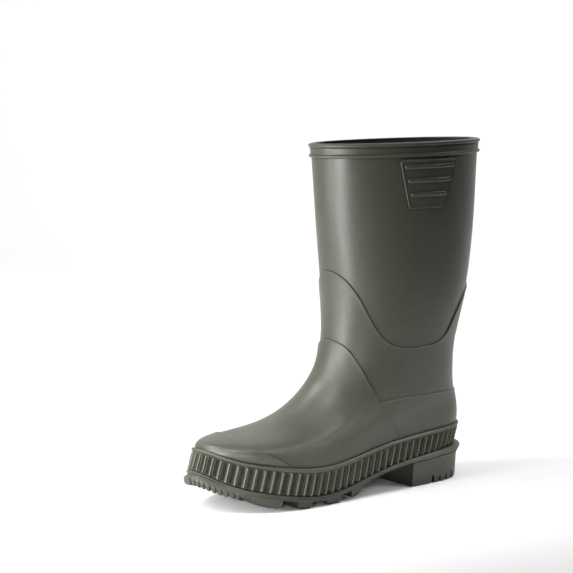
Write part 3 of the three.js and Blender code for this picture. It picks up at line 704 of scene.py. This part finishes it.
def sole_slab():
    us = slab_stations()
    s = run_along(us)
    near = from_front(us)
    y = sole_point(us, 0.0)[:, 1]
    heel = smooth((y - 15) / 45)
    toe = 1 - smooth((near - 0.6) / 0.7)
    teeth = 1 - smooth((near - TEETH_END) / 0.06)
    arch = smooth((y - ARCH[0]) / 4) * (1 - smooth((y - ARCH[1]) / 4))
    phase = np.abs(np.mod(s / TOOTH_PITCH, 1) - 0.5) * 2
    gap = smooth((phase - 0.62) / 0.38) * teeth
    knob = (1 - phase ** 3) * teeth
    ticks = ARCH_TICK_DEPTH * arch * (0.5 + 0.5 * np.sin(2 * math.pi * s / ARCH_TICK))
    points = []
    for part, at_toe, at_ball, at_heel in EDGE_SECTION:
        inset = at_toe * toe + at_ball * (1 - toe - heel) + at_heel * heel
        inset = inset + ticks * (part > 0.6)
        inset = inset + TOOTH_GAP * gap * smooth((part - 0.68) / 0.25)
        plan = sole_point(us, inset)
        z = lift(plan[:, 1]) - 0.1 - (wall_height(plan[:, 1]) - 0.1) * part
        points.append(np.column_stack([plan, z]))
    for inward, drop in TOOTH_SECTION:
        inset = 0.4 * toe + 1.4 * (1 - toe) + 0.9 * heel + inward + TOOTH_GAP * gap * (inward < 2)
        plan = sole_point(us, inset)
        z = lift(plan[:, 1]) - wall_height(plan[:, 1]) - TOOTH_DEPTH * drop * knob
        points.append(np.column_stack([plan, z]))
    n = len(us)
    faces = grid_faces(len(points), n, False, True).tolist()
    half = n // 2
    for base, turn in ((0, True), ((len(points) - 1) * n, False)):
        for i in range(half):
            quad = [base + i, base + i + 1, base + (n - i - 1) % n, base + (n - i) % n]
            quad = list(dict.fromkeys(quad))
            faces.append(quad[::-1] if turn else quad)
    return new_object("sole_slab", np.concatenate(points), faces)


def edge_x(side, y, inset):
    u = station_at(y)
    return sole_point(u if side > 0 else STATIONS - u, inset)[..., 0]


def lug_mesh(ys, x_a, x_b, bottom, top):
    """Lug as a strip: for each y the two side positions, a bottom height and a top height.

    Its foot is narrower than its root, and its side faces are rounded over at the foot.
    """
    n = len(ys)
    inner = np.sign(x_b - x_a)
    middle = ys.mean()
    rings = []
    for share, taper, shrink in ((0.0, 0.0, 1.0), (0.55, 0.15, 0.97), (0.88, 0.45, 0.9), (1.0, 1.0, 0.84)):
        z = top + (bottom - top) * share
        y = middle + (ys - middle) * shrink
        rings.append(np.column_stack([x_a + inner * taper, y, z]))
        rings.append(np.column_stack([x_b - inner * taper, y, z]))
    points = np.concatenate(rings)
    faces = []
    last = len(rings) // 2 - 1
    for k in range(last):
        a, b, c, d = 2 * k * n, (2 * k + 1) * n, (2 * k + 2) * n, (2 * k + 3) * n
        for i in range(n - 1):
            faces += [[a + i, a + i + 1, c + i + 1, c + i], [b + i, d + i, d + i + 1, b + i + 1]]
        faces += [[a, c, d, b], [a + n - 1, b + n - 1, d + n - 1, c + n - 1]]
    a, b, c, d = 0, n, 2 * last * n, (2 * last + 1) * n
    for i in range(n - 1):
        faces += [[a + i, b + i, b + i + 1, a + i + 1], [c + i, c + i + 1, d + i + 1, d + i]]
    return points, faces


SIDE_LUGS = [(-91.0, -67.0), (-55.5, -43.8), (-32.0, -17.5), (-9.0, 1.2)]
SIDE_REACH = 0.55
MIDDLE_ROWS, MIDDLE_FRONT, MIDDLE_PITCH, MIDDLE_LENGTH = 7, -86.0, 12.2, 7.4
MIDDLE_NEAR, MIDDLE_FAR, MIDDLE_SLANT, MIDDLE_INSET = 0.06, 0.46, 0.35, 1.3
SERRATION, SIDE_SERRATION_DEPTH, MIDDLE_SERRATION_DEPTH = 2.3, 1.5, 0.9
LUG_INSET, LUG_ROOT = 1.35, 1.0
FRONT_CHAMFER, FRONT_CHAMFER_RUN = 3.2, 10.0


def serrated(front, back, depth):
    """Positions along a lug and the zigzag cut into its foot at each."""
    count = max(2, 2 * int(round((back - front) / SERRATION)))
    cut = np.where(np.arange(count + 1) % 2 == 1, depth, 0.0)
    cut[0] = cut[-1] = depth * 0.6
    return np.linspace(front, back, count + 1), cut


def lug_parts():
    parts = []

    def add(ys, cut, x_a, x_b):
        parts.append(lug_mesh(ys, x_a, x_b, tread_level(ys) + cut, lift(ys) - wall_height(ys) + LUG_ROOT))

    for side in (1, -1):
        for front, back in SIDE_LUGS:
            ys, cut = serrated(front, back, SIDE_SERRATION_DEPTH)
            if front == SIDE_LUGS[0][0]:
                cut = cut + FRONT_CHAMFER * np.clip(1 - (ys - front) / FRONT_CHAMFER_RUN, 0, 1)
            outer = edge_x(side, ys, LUG_INSET)
            middle = (edge_x(1, ys, LUG_INSET) + edge_x(-1, ys, LUG_INSET)) / 2
            add(ys, cut, outer, middle + (outer - middle) * SIDE_REACH)
        for k in range(MIDDLE_ROWS):
            front = MIDDLE_FRONT + MIDDLE_PITCH * k
            ys, cut = serrated(front, front + MIDDLE_LENGTH, MIDDLE_SERRATION_DEPTH)
            left, right = edge_x(1, ys, MIDDLE_INSET), edge_x(-1, ys, MIDDLE_INSET)
            middle, half = (left + right) / 2, np.abs(left - right) / 2
            far = middle + side * (half * MIDDLE_FAR - (ys - front) * MIDDLE_SLANT)
            add(ys, cut, far, middle + side * half * MIDDLE_NEAR)
    return parts


def boolean(target, other, operation):
    mod = target.modifiers.new("cut", "BOOLEAN")
    mod.operation, mod.object, mod.solver = operation, other, "MANIFOLD"
    graph = bpy.context.evaluated_depsgraph_get()
    mesh = bpy.data.meshes.new_from_object(target.evaluated_get(graph))
    target.modifiers.clear()
    old, target.data = target.data, mesh
    bpy.data.meshes.remove(old)
    mesh.name = target.name
    bpy.data.objects.remove(other, do_unlink=True)


def outsole():
    slab = sole_slab()
    for points, faces in lug_parts():
        lug = new_object("lug", points, faces, smooth_shading=False)
        boolean(slab, lug, "UNION")
    slab.name = "outsole_rubber"
    shade_by_angle(slab, 32)
    return slab


def shade_by_angle(obj, degrees):
    obj.data.polygons.foreach_set("use_smooth", [True] * len(obj.data.polygons))
    obj.data.set_sharp_from_angle(angle=math.radians(degrees))


# The heel's side from its top lip down: share of its height and inset from the sole's outline.
HEEL_SECTION = [(1.0, 2.1), (0.985, 1.7), (0.955, 1.65), (0.93, 2.1), (0.9, 2.5), (0.8, 2.6), (0.4, 3.1),
                (0.08, 3.5), (0.02, 3.7), (0.0, 4.1)]
# Notches in the heel's side: station, height and half-width.
NOTCHES = [(4.33, 5.6, 2.2), (4.5, 3.9, 1.4), (4.68, 4.2, 1.4), (4.9, 6.2, 1.3)]
GROOVES = (60.0, 72.0, 84.0)
GROOVE_REACH = 22.0


def wedge(centre, inward, height, half_width, front=-3.0, back=5.5, tip=0.8):
    """Cutter that enters from below and narrows to its top."""
    along = np.array([-inward[1], inward[0]])
    points = []
    for reach in (front, back):
        for side, z in ((-half_width, -1.0), (half_width, -1.0), (tip, height), (-tip, height)):
            xy = centre + inward * reach + along * side
            points.append([xy[0], xy[1], z])
    faces = [[3, 2, 1, 0], [4, 5, 6, 7], [0, 1, 5, 4], [1, 2, 6, 5], [2, 3, 7, 6], [3, 0, 4, 7]]
    return new_object("cut", np.array(points), faces, smooth_shading=False)


def heel():
    start = float(station_at(HEEL_BREAST))
    us = np.linspace(start, STATIONS - start, 150)
    rows = []
    for z_share, inset in HEEL_SECTION:
        plan = sole_point(us, inset)
        plan[0, 1] = plan[-1, 1] = HEEL_BREAST
        top = lift(plan[:, 1]) - wall_height(plan[:, 1]) + 0.1
        rows.append(np.column_stack([plan, top * z_share]))
    n = len(us)
    faces = grid_faces(len(rows), n, False, True).tolist()
    faces += [list(range(n))[::-1], [(len(rows) - 1) * n + j for j in range(n)]]
    block = new_object("heel_rubber", np.concatenate(rows), faces)
    for station, height, half_width in NOTCHES:
        for u in (station, STATIONS - station):
            rim, inside = sole_point(u, [3.0, 7.0])
            boolean(block, wedge(rim, unit(inside - rim), height, half_width), "DIFFERENCE")
    for y in GROOVES:
        across = np.array([1.0, 0.0])
        groove = wedge(np.array([0.0, y]), across, 2.2, 1.5, -GROOVE_REACH, GROOVE_REACH, 0.6)
        boolean(block, groove, "DIFFERENCE")
    shade_by_angle(block, 32)
    return block


# ---- inside

# Level and depth of the footbed's rim from its underside up and inwards.
BED_RINGS = [(5.6, -3.6), (9.0, -3.4), (9.7, -3.6), (10.1, -4.3), (10.15, -5.5)]
CUP_DEPTH = 1.2


def footbed():
    us = columns(180)
    points = [place(us, t, d) for t, d in BED_RINGS]
    n, half = len(us), len(us) // 2
    middle = points[-1]
    across = 14
    faces = grid_faces(len(points), n, False, True).tolist()
    base = len(points) * n
    last_ring = base - n
    grid = []
    for i in range(1, half):
        a, b = middle[i], middle[n - i]
        w = np.linspace(0, 1, across + 2)[1:-1, None]
        line = a * (1 - w) + b * w
        line[:, 2] -= CUP_DEPTH * np.sin(math.pi * w[:, 0]) * smooth((a[1] - 20) / 60)
        grid.append(line)
    points.append(np.concatenate(grid))
    row = lambda i: [last_ring + i] + [base + (i - 1) * across + k for k in range(across)] + [base - i]
    for i in range(1, half - 1):
        a, b = row(i), row(i + 1)
        faces += [[a[k], a[k + 1], b[k + 1], b[k]] for k in range(across + 1)]
    first, last = row(1), row(half - 1)
    faces += [[last_ring, first[k + 1], first[k]] for k in range(across + 1)]
    faces += [[last_ring + half, last[k], last[k + 1]] for k in range(across + 1)]
    for i in range(half):
        faces.append(list(dict.fromkeys([i, (n - i) % n, (n - i - 1) % n, i + 1])))
    points = np.concatenate(points)
    return new_object("footbed_sock", points, faces, uv=points[:, :2] * MM)


# ---- materials

def nodes_of(name):
    material = bpy.data.materials.new(name)
    material.use_nodes = True
    tree = material.node_tree
    tree.nodes.clear()
    out = tree.nodes.new("ShaderNodeOutputMaterial")
    shader = tree.nodes.new("ShaderNodeBsdfPrincipled")
    tree.links.new(shader.outputs[0], out.inputs[0])
    return material, tree, shader


def node(tree, kind, values=None, **settings):
    """Node with its settings; each value is a constant or the socket that feeds the input."""
    n = tree.nodes.new(kind)
    for key, value in settings.items():
        setattr(n, key, value)
    for key, value in (values or {}).items():
        if isinstance(value, bpy.types.NodeSocket):
            tree.links.new(value, n.inputs[key])
        else:
            n.inputs[key].default_value = value
    return n


def noise(tree, coords, scale, detail, roughness, distortion=0.0):
    return node(tree, "ShaderNodeTexNoise", {
        "Vector": coords, "Scale": scale, "Detail": detail, "Roughness": roughness,
        "Distortion": distortion}).outputs["Fac"]


def ramp(tree, factor, stops):
    n = node(tree, "ShaderNodeValToRGB", {"Fac": factor})
    elements = n.color_ramp.elements
    while len(elements) < len(stops):
        elements.new(0.5)
    for element, (position, colour) in zip(elements, stops):
        element.position = position
        element.color = (*colour, 1)
    return n.outputs["Color"]


def math_node(tree, operation, a, b):
    return node(tree, "ShaderNodeMath", {0: a, 1: b}, operation=operation).outputs[0]


BLACK, WHITE = (0, 0, 0), (1, 1, 1)


def times(colour, factor):
    return tuple(c * factor for c in colour)


def mix_colour(tree, factor, a, b):
    a, b = ((*c, 1) if isinstance(c, tuple) else c for c in (a, b))
    return node(tree, "ShaderNodeMix", {0: factor, 6: a, 7: b}, data_type="RGBA").outputs[2]


def tint(tree, base, mask, strength, colour):
    return mix_colour(tree, math_node(tree, "MULTIPLY", mask, strength), base, colour)


def bump_by(tree, shader, height, strength, distance):
    bump = node(tree, "ShaderNodeBump", {"Height": height, "Strength": strength, "Distance": distance})
    tree.links.new(bump.outputs["Normal"], shader.inputs["Normal"])


# Tones and strengths of the marks: edges lightened by wear and painted highlight, hollows and creases
# darkened by painted shade.
WEAR_AND_HIGHLIGHT_GAIN, WEAR_AND_HIGHLIGHT_LIFT, HOLLOW_SHADE_TONE, CREASE_SHADE_TONE, CREASE_SHADE_STRENGTH = 1.45, 0.012, 0.4, 0.22, 0.85
BUMP_STRENGTH, BUMP_DISTANCE = 0.22, 0.00022


def rubber(name, colour, roughness, grain=1.0, hollow_shade=0.25, wear_and_highlight=0.35, seed=0.0, crease_reach=0.0022):
    """Waxy matte rubber: colour clouds, fine grain, edges lightened by wear and painted highlight, painted
    shade in hollows and in creases.
    """
    material, tree, shader = nodes_of(name)
    coords = node(tree, "ShaderNodeTexCoord").outputs["Object"]
    place_at = {"Vector": coords, "Location": (seed, seed * 0.7, -seed)}
    at = node(tree, "ShaderNodeMapping", place_at).outputs["Vector"]
    clouds = noise(tree, at, 14.0, 3.0, 0.5)
    mottle = noise(tree, at, 160.0, 4.0, 0.6)
    fine = noise(tree, at, 1500.0, 2.0, 0.5)
    dark, light = times(colour, 0.86), times(colour, 1.12)
    base = ramp(tree, clouds, [(0.3, dark), (0.7, light)])
    base = mix_colour(tree, 0.35, base, ramp(tree, mottle, [(0.35, dark), (0.65, light)]))
    geometry = node(tree, "ShaderNodeNewGeometry")
    # Lighter where Pointiness is high: partly rubbed wear, partly painted highlight on edges and on the
    # knurl's ridges.
    edge = ramp(tree, geometry.outputs["Pointiness"], [(0.5, BLACK), (0.62, WHITE)])
    # Darker where Pointiness is low: painted shade in pits and recesses, such as the foxing's knurl.
    hollow = ramp(tree, geometry.outputs["Pointiness"], [(0.4, WHITE), (0.49, BLACK)])
    wear_and_highlight_tone = tuple(min(1.0, c * WEAR_AND_HIGHLIGHT_GAIN + WEAR_AND_HIGHLIGHT_LIFT) for c in colour)
    base = tint(tree, base, edge, wear_and_highlight, wear_and_highlight_tone)
    base = tint(tree, base, hollow, hollow_shade, times(colour, HOLLOW_SHADE_TONE))
    # Ambient occlusion within crease_reach darkens seams, creases and the feet of steps: painted shade.
    shade = node(tree, "ShaderNodeAmbientOcclusion", {"Distance": crease_reach}, samples=8)
    crease = ramp(tree, shade.outputs["AO"], [(0.55, WHITE), (0.95, BLACK)])
    base = tint(tree, base, crease, CREASE_SHADE_STRENGTH, times(colour, CREASE_SHADE_TONE))
    tree.links.new(base, shader.inputs["Base Color"])
    scuff = noise(tree, at, 60.0, 5.0, 0.65, 0.4)
    rough = math_node(tree, "ADD", roughness - 0.07, math_node(tree, "MULTIPLY", scuff, 0.14))
    tree.links.new(rough, shader.inputs["Roughness"])
    shader.inputs["Specular IOR Level"].default_value = 0.5
    height = math_node(tree, "ADD", math_node(tree, "MULTIPLY", fine, 0.5),
                       math_node(tree, "MULTIPLY", mottle, 0.8))
    bump_by(tree, shader, height, BUMP_STRENGTH * grain, BUMP_DISTANCE)
    return material


def knit(name, colour, scale=0.0011):
    """Fine weft-knit lining: rows of small loops from two crossed waves, with loose fibres."""
    material, tree, shader = nodes_of(name)
    uv = node(tree, "ShaderNodeUVMap", uv_map="cloth").outputs["UV"]
    waves = []
    for direction, divisor, distortion in (("X", 20, 0.6), ("Y", 14, 0.8)):
        values = {"Vector": uv, "Scale": 1 / scale / divisor, "Distortion": distortion, "Detail": 1.0}
        wave = node(tree, "ShaderNodeTexWave", values, bands_direction=direction)
        waves.append(wave.outputs["Fac"])
    loops = math_node(tree, "MULTIPLY", *waves)
    coords = node(tree, "ShaderNodeTexCoord").outputs["Object"]
    fuzz = noise(tree, coords, 900.0, 4.0, 0.7)
    clouds = noise(tree, coords, 18.0, 3.0, 0.5)
    base = ramp(tree, loops, [(0.1, times(colour, 0.45)), (0.8, times(colour, 1.3))])
    base = mix_colour(tree, 0.3, base, ramp(tree, clouds, [(0.3, times(colour, 0.7)), (0.7, colour)]))
    tree.links.new(base, shader.inputs["Base Color"])
    shader.inputs["Roughness"].default_value = 0.95
    shader.inputs["Specular IOR Level"].default_value = 0.15
    shader.inputs["Sheen Weight"].default_value = 0.25
    height = math_node(tree, "ADD", loops, math_node(tree, "MULTIPLY", fuzz, 0.4))
    bump_by(tree, shader, height, 0.6, 0.0004)
    return material


def granular(name, dark, light, scale, roughness):
    """Sponge rubber or fibre board: speckle in colour and height."""
    material, tree, shader = nodes_of(name)
    coords = node(tree, "ShaderNodeTexCoord").outputs["Object"]
    speck = noise(tree, coords, scale, 6.0, 0.7)
    tree.links.new(ramp(tree, speck, [(0.3, dark), (0.7, light)]), shader.inputs["Base Color"])
    shader.inputs["Roughness"].default_value = roughness
    bump_by(tree, shader, speck, 0.5, 0.0003)
    return material


OLIVE = (0.05, 0.0505, 0.036)
RUBBER_LOOK = rubber("olive_rubber", OLIVE, 0.4)
LEG_LOOK = rubber("olive_rubber_leg", OLIVE, 0.39, 0.8, seed=3.1)
TRIM_LOOK = rubber("olive_rubber_trim", times(OLIVE, 0.98), 0.42, 1.2, 0.4, seed=7.7)
# The sole's painted crease shade reaches 18 mm and darkens the heel's breast, the arch's underside and the
# gaps between lugs.
SOLE_LOOK = rubber("olive_rubber_sole", times(OLIVE, 1.05), 0.5, 1.6, 0.4, seed=12.3,
                   crease_reach=0.018)
# The foxing's rubber is the olive made 1.75 times lighter, a lit copy of the same rubber: painted light.
# Its strong hollow and edge marks paint shade into the knurl's pits and highlight onto its ridges.
FOXING_LOOK = rubber("olive_rubber_foxing", times(OLIVE, 1.75), 0.5, 1.2, 0.95, 0.9, 5.2, 0.0009)
LINING_LOOK = knit("dark_knit", (0.03, 0.031, 0.028))
SOCK_LOOK = knit("footbed_knit", (0.06, 0.062, 0.057), 0.0014)
FOAM_LOOK = granular("sponge_rubber", (0.07, 0.07, 0.062), (0.13, 0.13, 0.118), 900.0, 0.9)
BOARD_LOOK = granular("fibre_board", (0.17, 0.115, 0.06), (0.33, 0.24, 0.14), 500.0, 0.85)


def wear_look(obj, look):
    obj.data.materials.clear()
    obj.data.materials.append(look)


def finish_piece(obj, look, slot, *nodes):
    wear_look(obj, look)
    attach(obj, "root")
    if nodes:
        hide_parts(*nodes)


finish_piece(leg_rubber(), LEG_LOOK, "rubber", "leg_shell")
for make, cad_node in ((ankle_rubber, "ankle_band"), (counter_rubber, "heel_counter"),
                       (vamp_rubber, "vamp"), (cap_rubber, "toe_cap")):
    finish_piece(make(), RUBBER_LOOK, "rubber", cad_node)
finish_piece(lining_cloth(), LINING_LOOK, "lining_fabric", "lining")
finish_piece(rim_binding(), TRIM_LOOK, "rubber", "rim_band")
finish_piece(rim_roll(), TRIM_LOOK, "rubber", "rim_bead")
finish_piece(patch_object("outer_patch", 1), TRIM_LOOK, "rubber", "lateral_patch")
finish_piece(patch_object("inner_patch", -1), TRIM_LOOK, "rubber", "medial_patch")
for bar in BARS:
    finish_piece(bar, TRIM_LOOK, "rubber")
finish_piece(tab_object(), TRIM_LOOK, "rubber", "back_tab")
finish_piece(foxing_strip(), FOXING_LOOK, "rubber", "foxing")
finish_piece(foxing_roll(), TRIM_LOOK, "rubber", "foxing_bead")
finish_piece(outsole(), SOLE_LOOK, "sole_rubber", "outsole")
finish_piece(heel(), SOLE_LOOK, "sole_rubber", "heel_block")
finish_piece(footbed(), SOCK_LOOK, "footbed_fabric", "footbed")
for name, look in (("sole_filler", FOAM_LOOK), ("insole_board", BOARD_LOOK)):
    wear_look(bpy.data.objects[name], look)

# ---- stage, lights and camera

CAMERA_AZIMUTH, CAMERA_RANGE, CAMERA_HEIGHT = 52.5, 1.3, 0.303
CAMERA_LENS, CAMERA_SHIFT = 117.86, (-0.0759, 0.0611)
AIM = (0.0, SHIFT_Y * MM, 0.12)
FLOOR_NEAR, FLOOR_FAR, BEND_RADIUS, WALL_TOP, FLOOR_HALF = -3.0, 1.4, 0.8, 3.5, 4.0
SPOT_RANGE, SPOT_RADIUS = 0.8, 0.08
WORLD_STRENGTH = 0.03


def stage():
    """Pale floor that bends up into a backdrop, turned to face the camera."""
    profile = [(FLOOR_NEAR, 0.0), (FLOOR_FAR, 0.0)]
    for a in np.radians(np.linspace(8, 90, 12)):
        profile.append((FLOOR_FAR + BEND_RADIUS * math.sin(a), BEND_RADIUS - BEND_RADIUS * math.cos(a)))
    profile.append((FLOOR_FAR + BEND_RADIUS, WALL_TOP))
    turn = math.radians(CAMERA_AZIMUTH)
    away = np.array([-math.sin(turn), math.cos(turn)])
    side = np.array([away[1], -away[0]])
    points, n = [], len(profile)
    for reach in (-FLOOR_HALF, FLOOR_HALF):
        for run, z in profile:
            xy = away * run + side * reach
            points.append([xy[0], xy[1], z])
    mesh = bpy.data.meshes.new("floor")
    mesh.from_pydata(points, [], [[i, i + 1, i + 1 + n, i + n] for i in range(n - 1)])
    mesh.polygons.foreach_set("use_smooth", [True] * len(mesh.polygons))
    floor = add_object("floor", mesh)
    material, _, shader = nodes_of("pale_floor")
    shader.inputs["Base Color"].default_value = (0.93, 0.93, 0.93, 1)
    shader.inputs["Roughness"].default_value = 0.9
    shader.inputs["Specular IOR Level"].default_value = 0.1
    mesh.materials.append(material)


def put_light(data, azimuth, elevation, distance, target, away=False):
    """Azimuth 0 stands in front of the toe, 90 at the outer side; away turns the light from the boot."""
    light = add_object(data.name, data)
    a, e = math.radians(azimuth), math.radians(elevation)
    spot = np.array([math.sin(a) * math.cos(e), -math.cos(a) * math.cos(e), math.sin(e)]) * distance
    light.location = spot + np.array(target)
    if away:
        target = (light.location.x + math.sin(a), light.location.y - math.cos(a), light.location.z - 0.16)
    aim(light, target)


def area_light(name, azimuth, elevation, distance, size, power, target=(0, 0, 0.12), away=False):
    data = bpy.data.lights.new(name, "AREA")
    data.shape = "RECTANGLE"
    (data.size, data.size_y), data.energy = size, power
    put_light(data, azimuth, elevation, distance, target, away)


def spot_light(name, azimuth, elevation, power, target, cone):
    data = bpy.data.lights.new(name, "SPOT")
    data.energy, data.shadow_soft_size = power, SPOT_RADIUS
    data.spot_size, data.spot_blend = math.radians(cone), 1.0
    put_light(data, azimuth, elevation, SPOT_RANGE, target)


def aim(obj, target):
    obj.rotation_euler = (Vector(target) - obj.location).to_track_quat("-Z", "Y").to_euler()


def camera():
    data = bpy.data.cameras.new("camera")
    data.sensor_width = 36
    data.lens = CAMERA_LENS
    data.shift_x, data.shift_y = CAMERA_SHIFT
    data.clip_end = 50
    cam = add_object("camera", data)
    a = math.radians(CAMERA_AZIMUTH)
    cam.location = (math.sin(a) * CAMERA_RANGE, AIM[1] - math.cos(a) * CAMERA_RANGE, CAMERA_HEIGHT)
    aim(cam, AIM)
    bpy.context.scene.camera = cam


stage()
LOW, FOOT, HEEL = (0, -0.03, 0.03), (0, -0.06, 0.02), (0.03, 0.07, 0.02)
OPPOSITE = CAMERA_AZIMUTH + 180
area_light("key_strip", -25, 20, 0.8, (0.25, 0.6), 6.0)
area_light("front_strip", 10, 20, 0.8, (0.25, 0.6), 1.7)
area_light("toe_card", 0, 8, 0.6, (0.2, 0.25), 2.8, LOW)
area_light("left_strip", -60, 28, 1.4, (0.35, 1.2), 1.8)
area_light("top", 40, 88, 1.6, (1.2, 1.2), 6.3)
area_light("backdrop", OPPOSITE, 78, 1.45, (3.0, 0.6), 38, away=True)
for name, azimuth, elevation, power in (
        ("foot_high", 10, 62, 9.0), ("foot_low", 45, 12, 8.7), ("foot_left", -60, 50, 10.0),
        ("foot_side_low", 115, 12, 1.3), ("foot_side", 115, 35, 2.1), ("foot_side_high", 115, 62, 4.1)):
    spot_light(name, azimuth, elevation, power, FOOT, 22)
area_light("floor_back", OPPOSITE, 74, 0.85, (2.0, 0.4), 9, away=True)
spot_light("behind", 165, 65, 15, (0.05, 0.24, 0), 50)
spot_light("heel_low", 130, 10, 3.0, HEEL, 20)
spot_light("heel_side", 130, 35, 6.5, HEEL, 20)
camera()
world = bpy.data.worlds.new("studio")
world.use_nodes = True
background = world.node_tree.nodes["Background"]
background.inputs["Color"].default_value = (1, 1, 1, 1)
background.inputs["Strength"].default_value = WORLD_STRENGTH
bpy.context.scene.world = world
bpy.context.scene.view_settings.view_transform = "Standard"
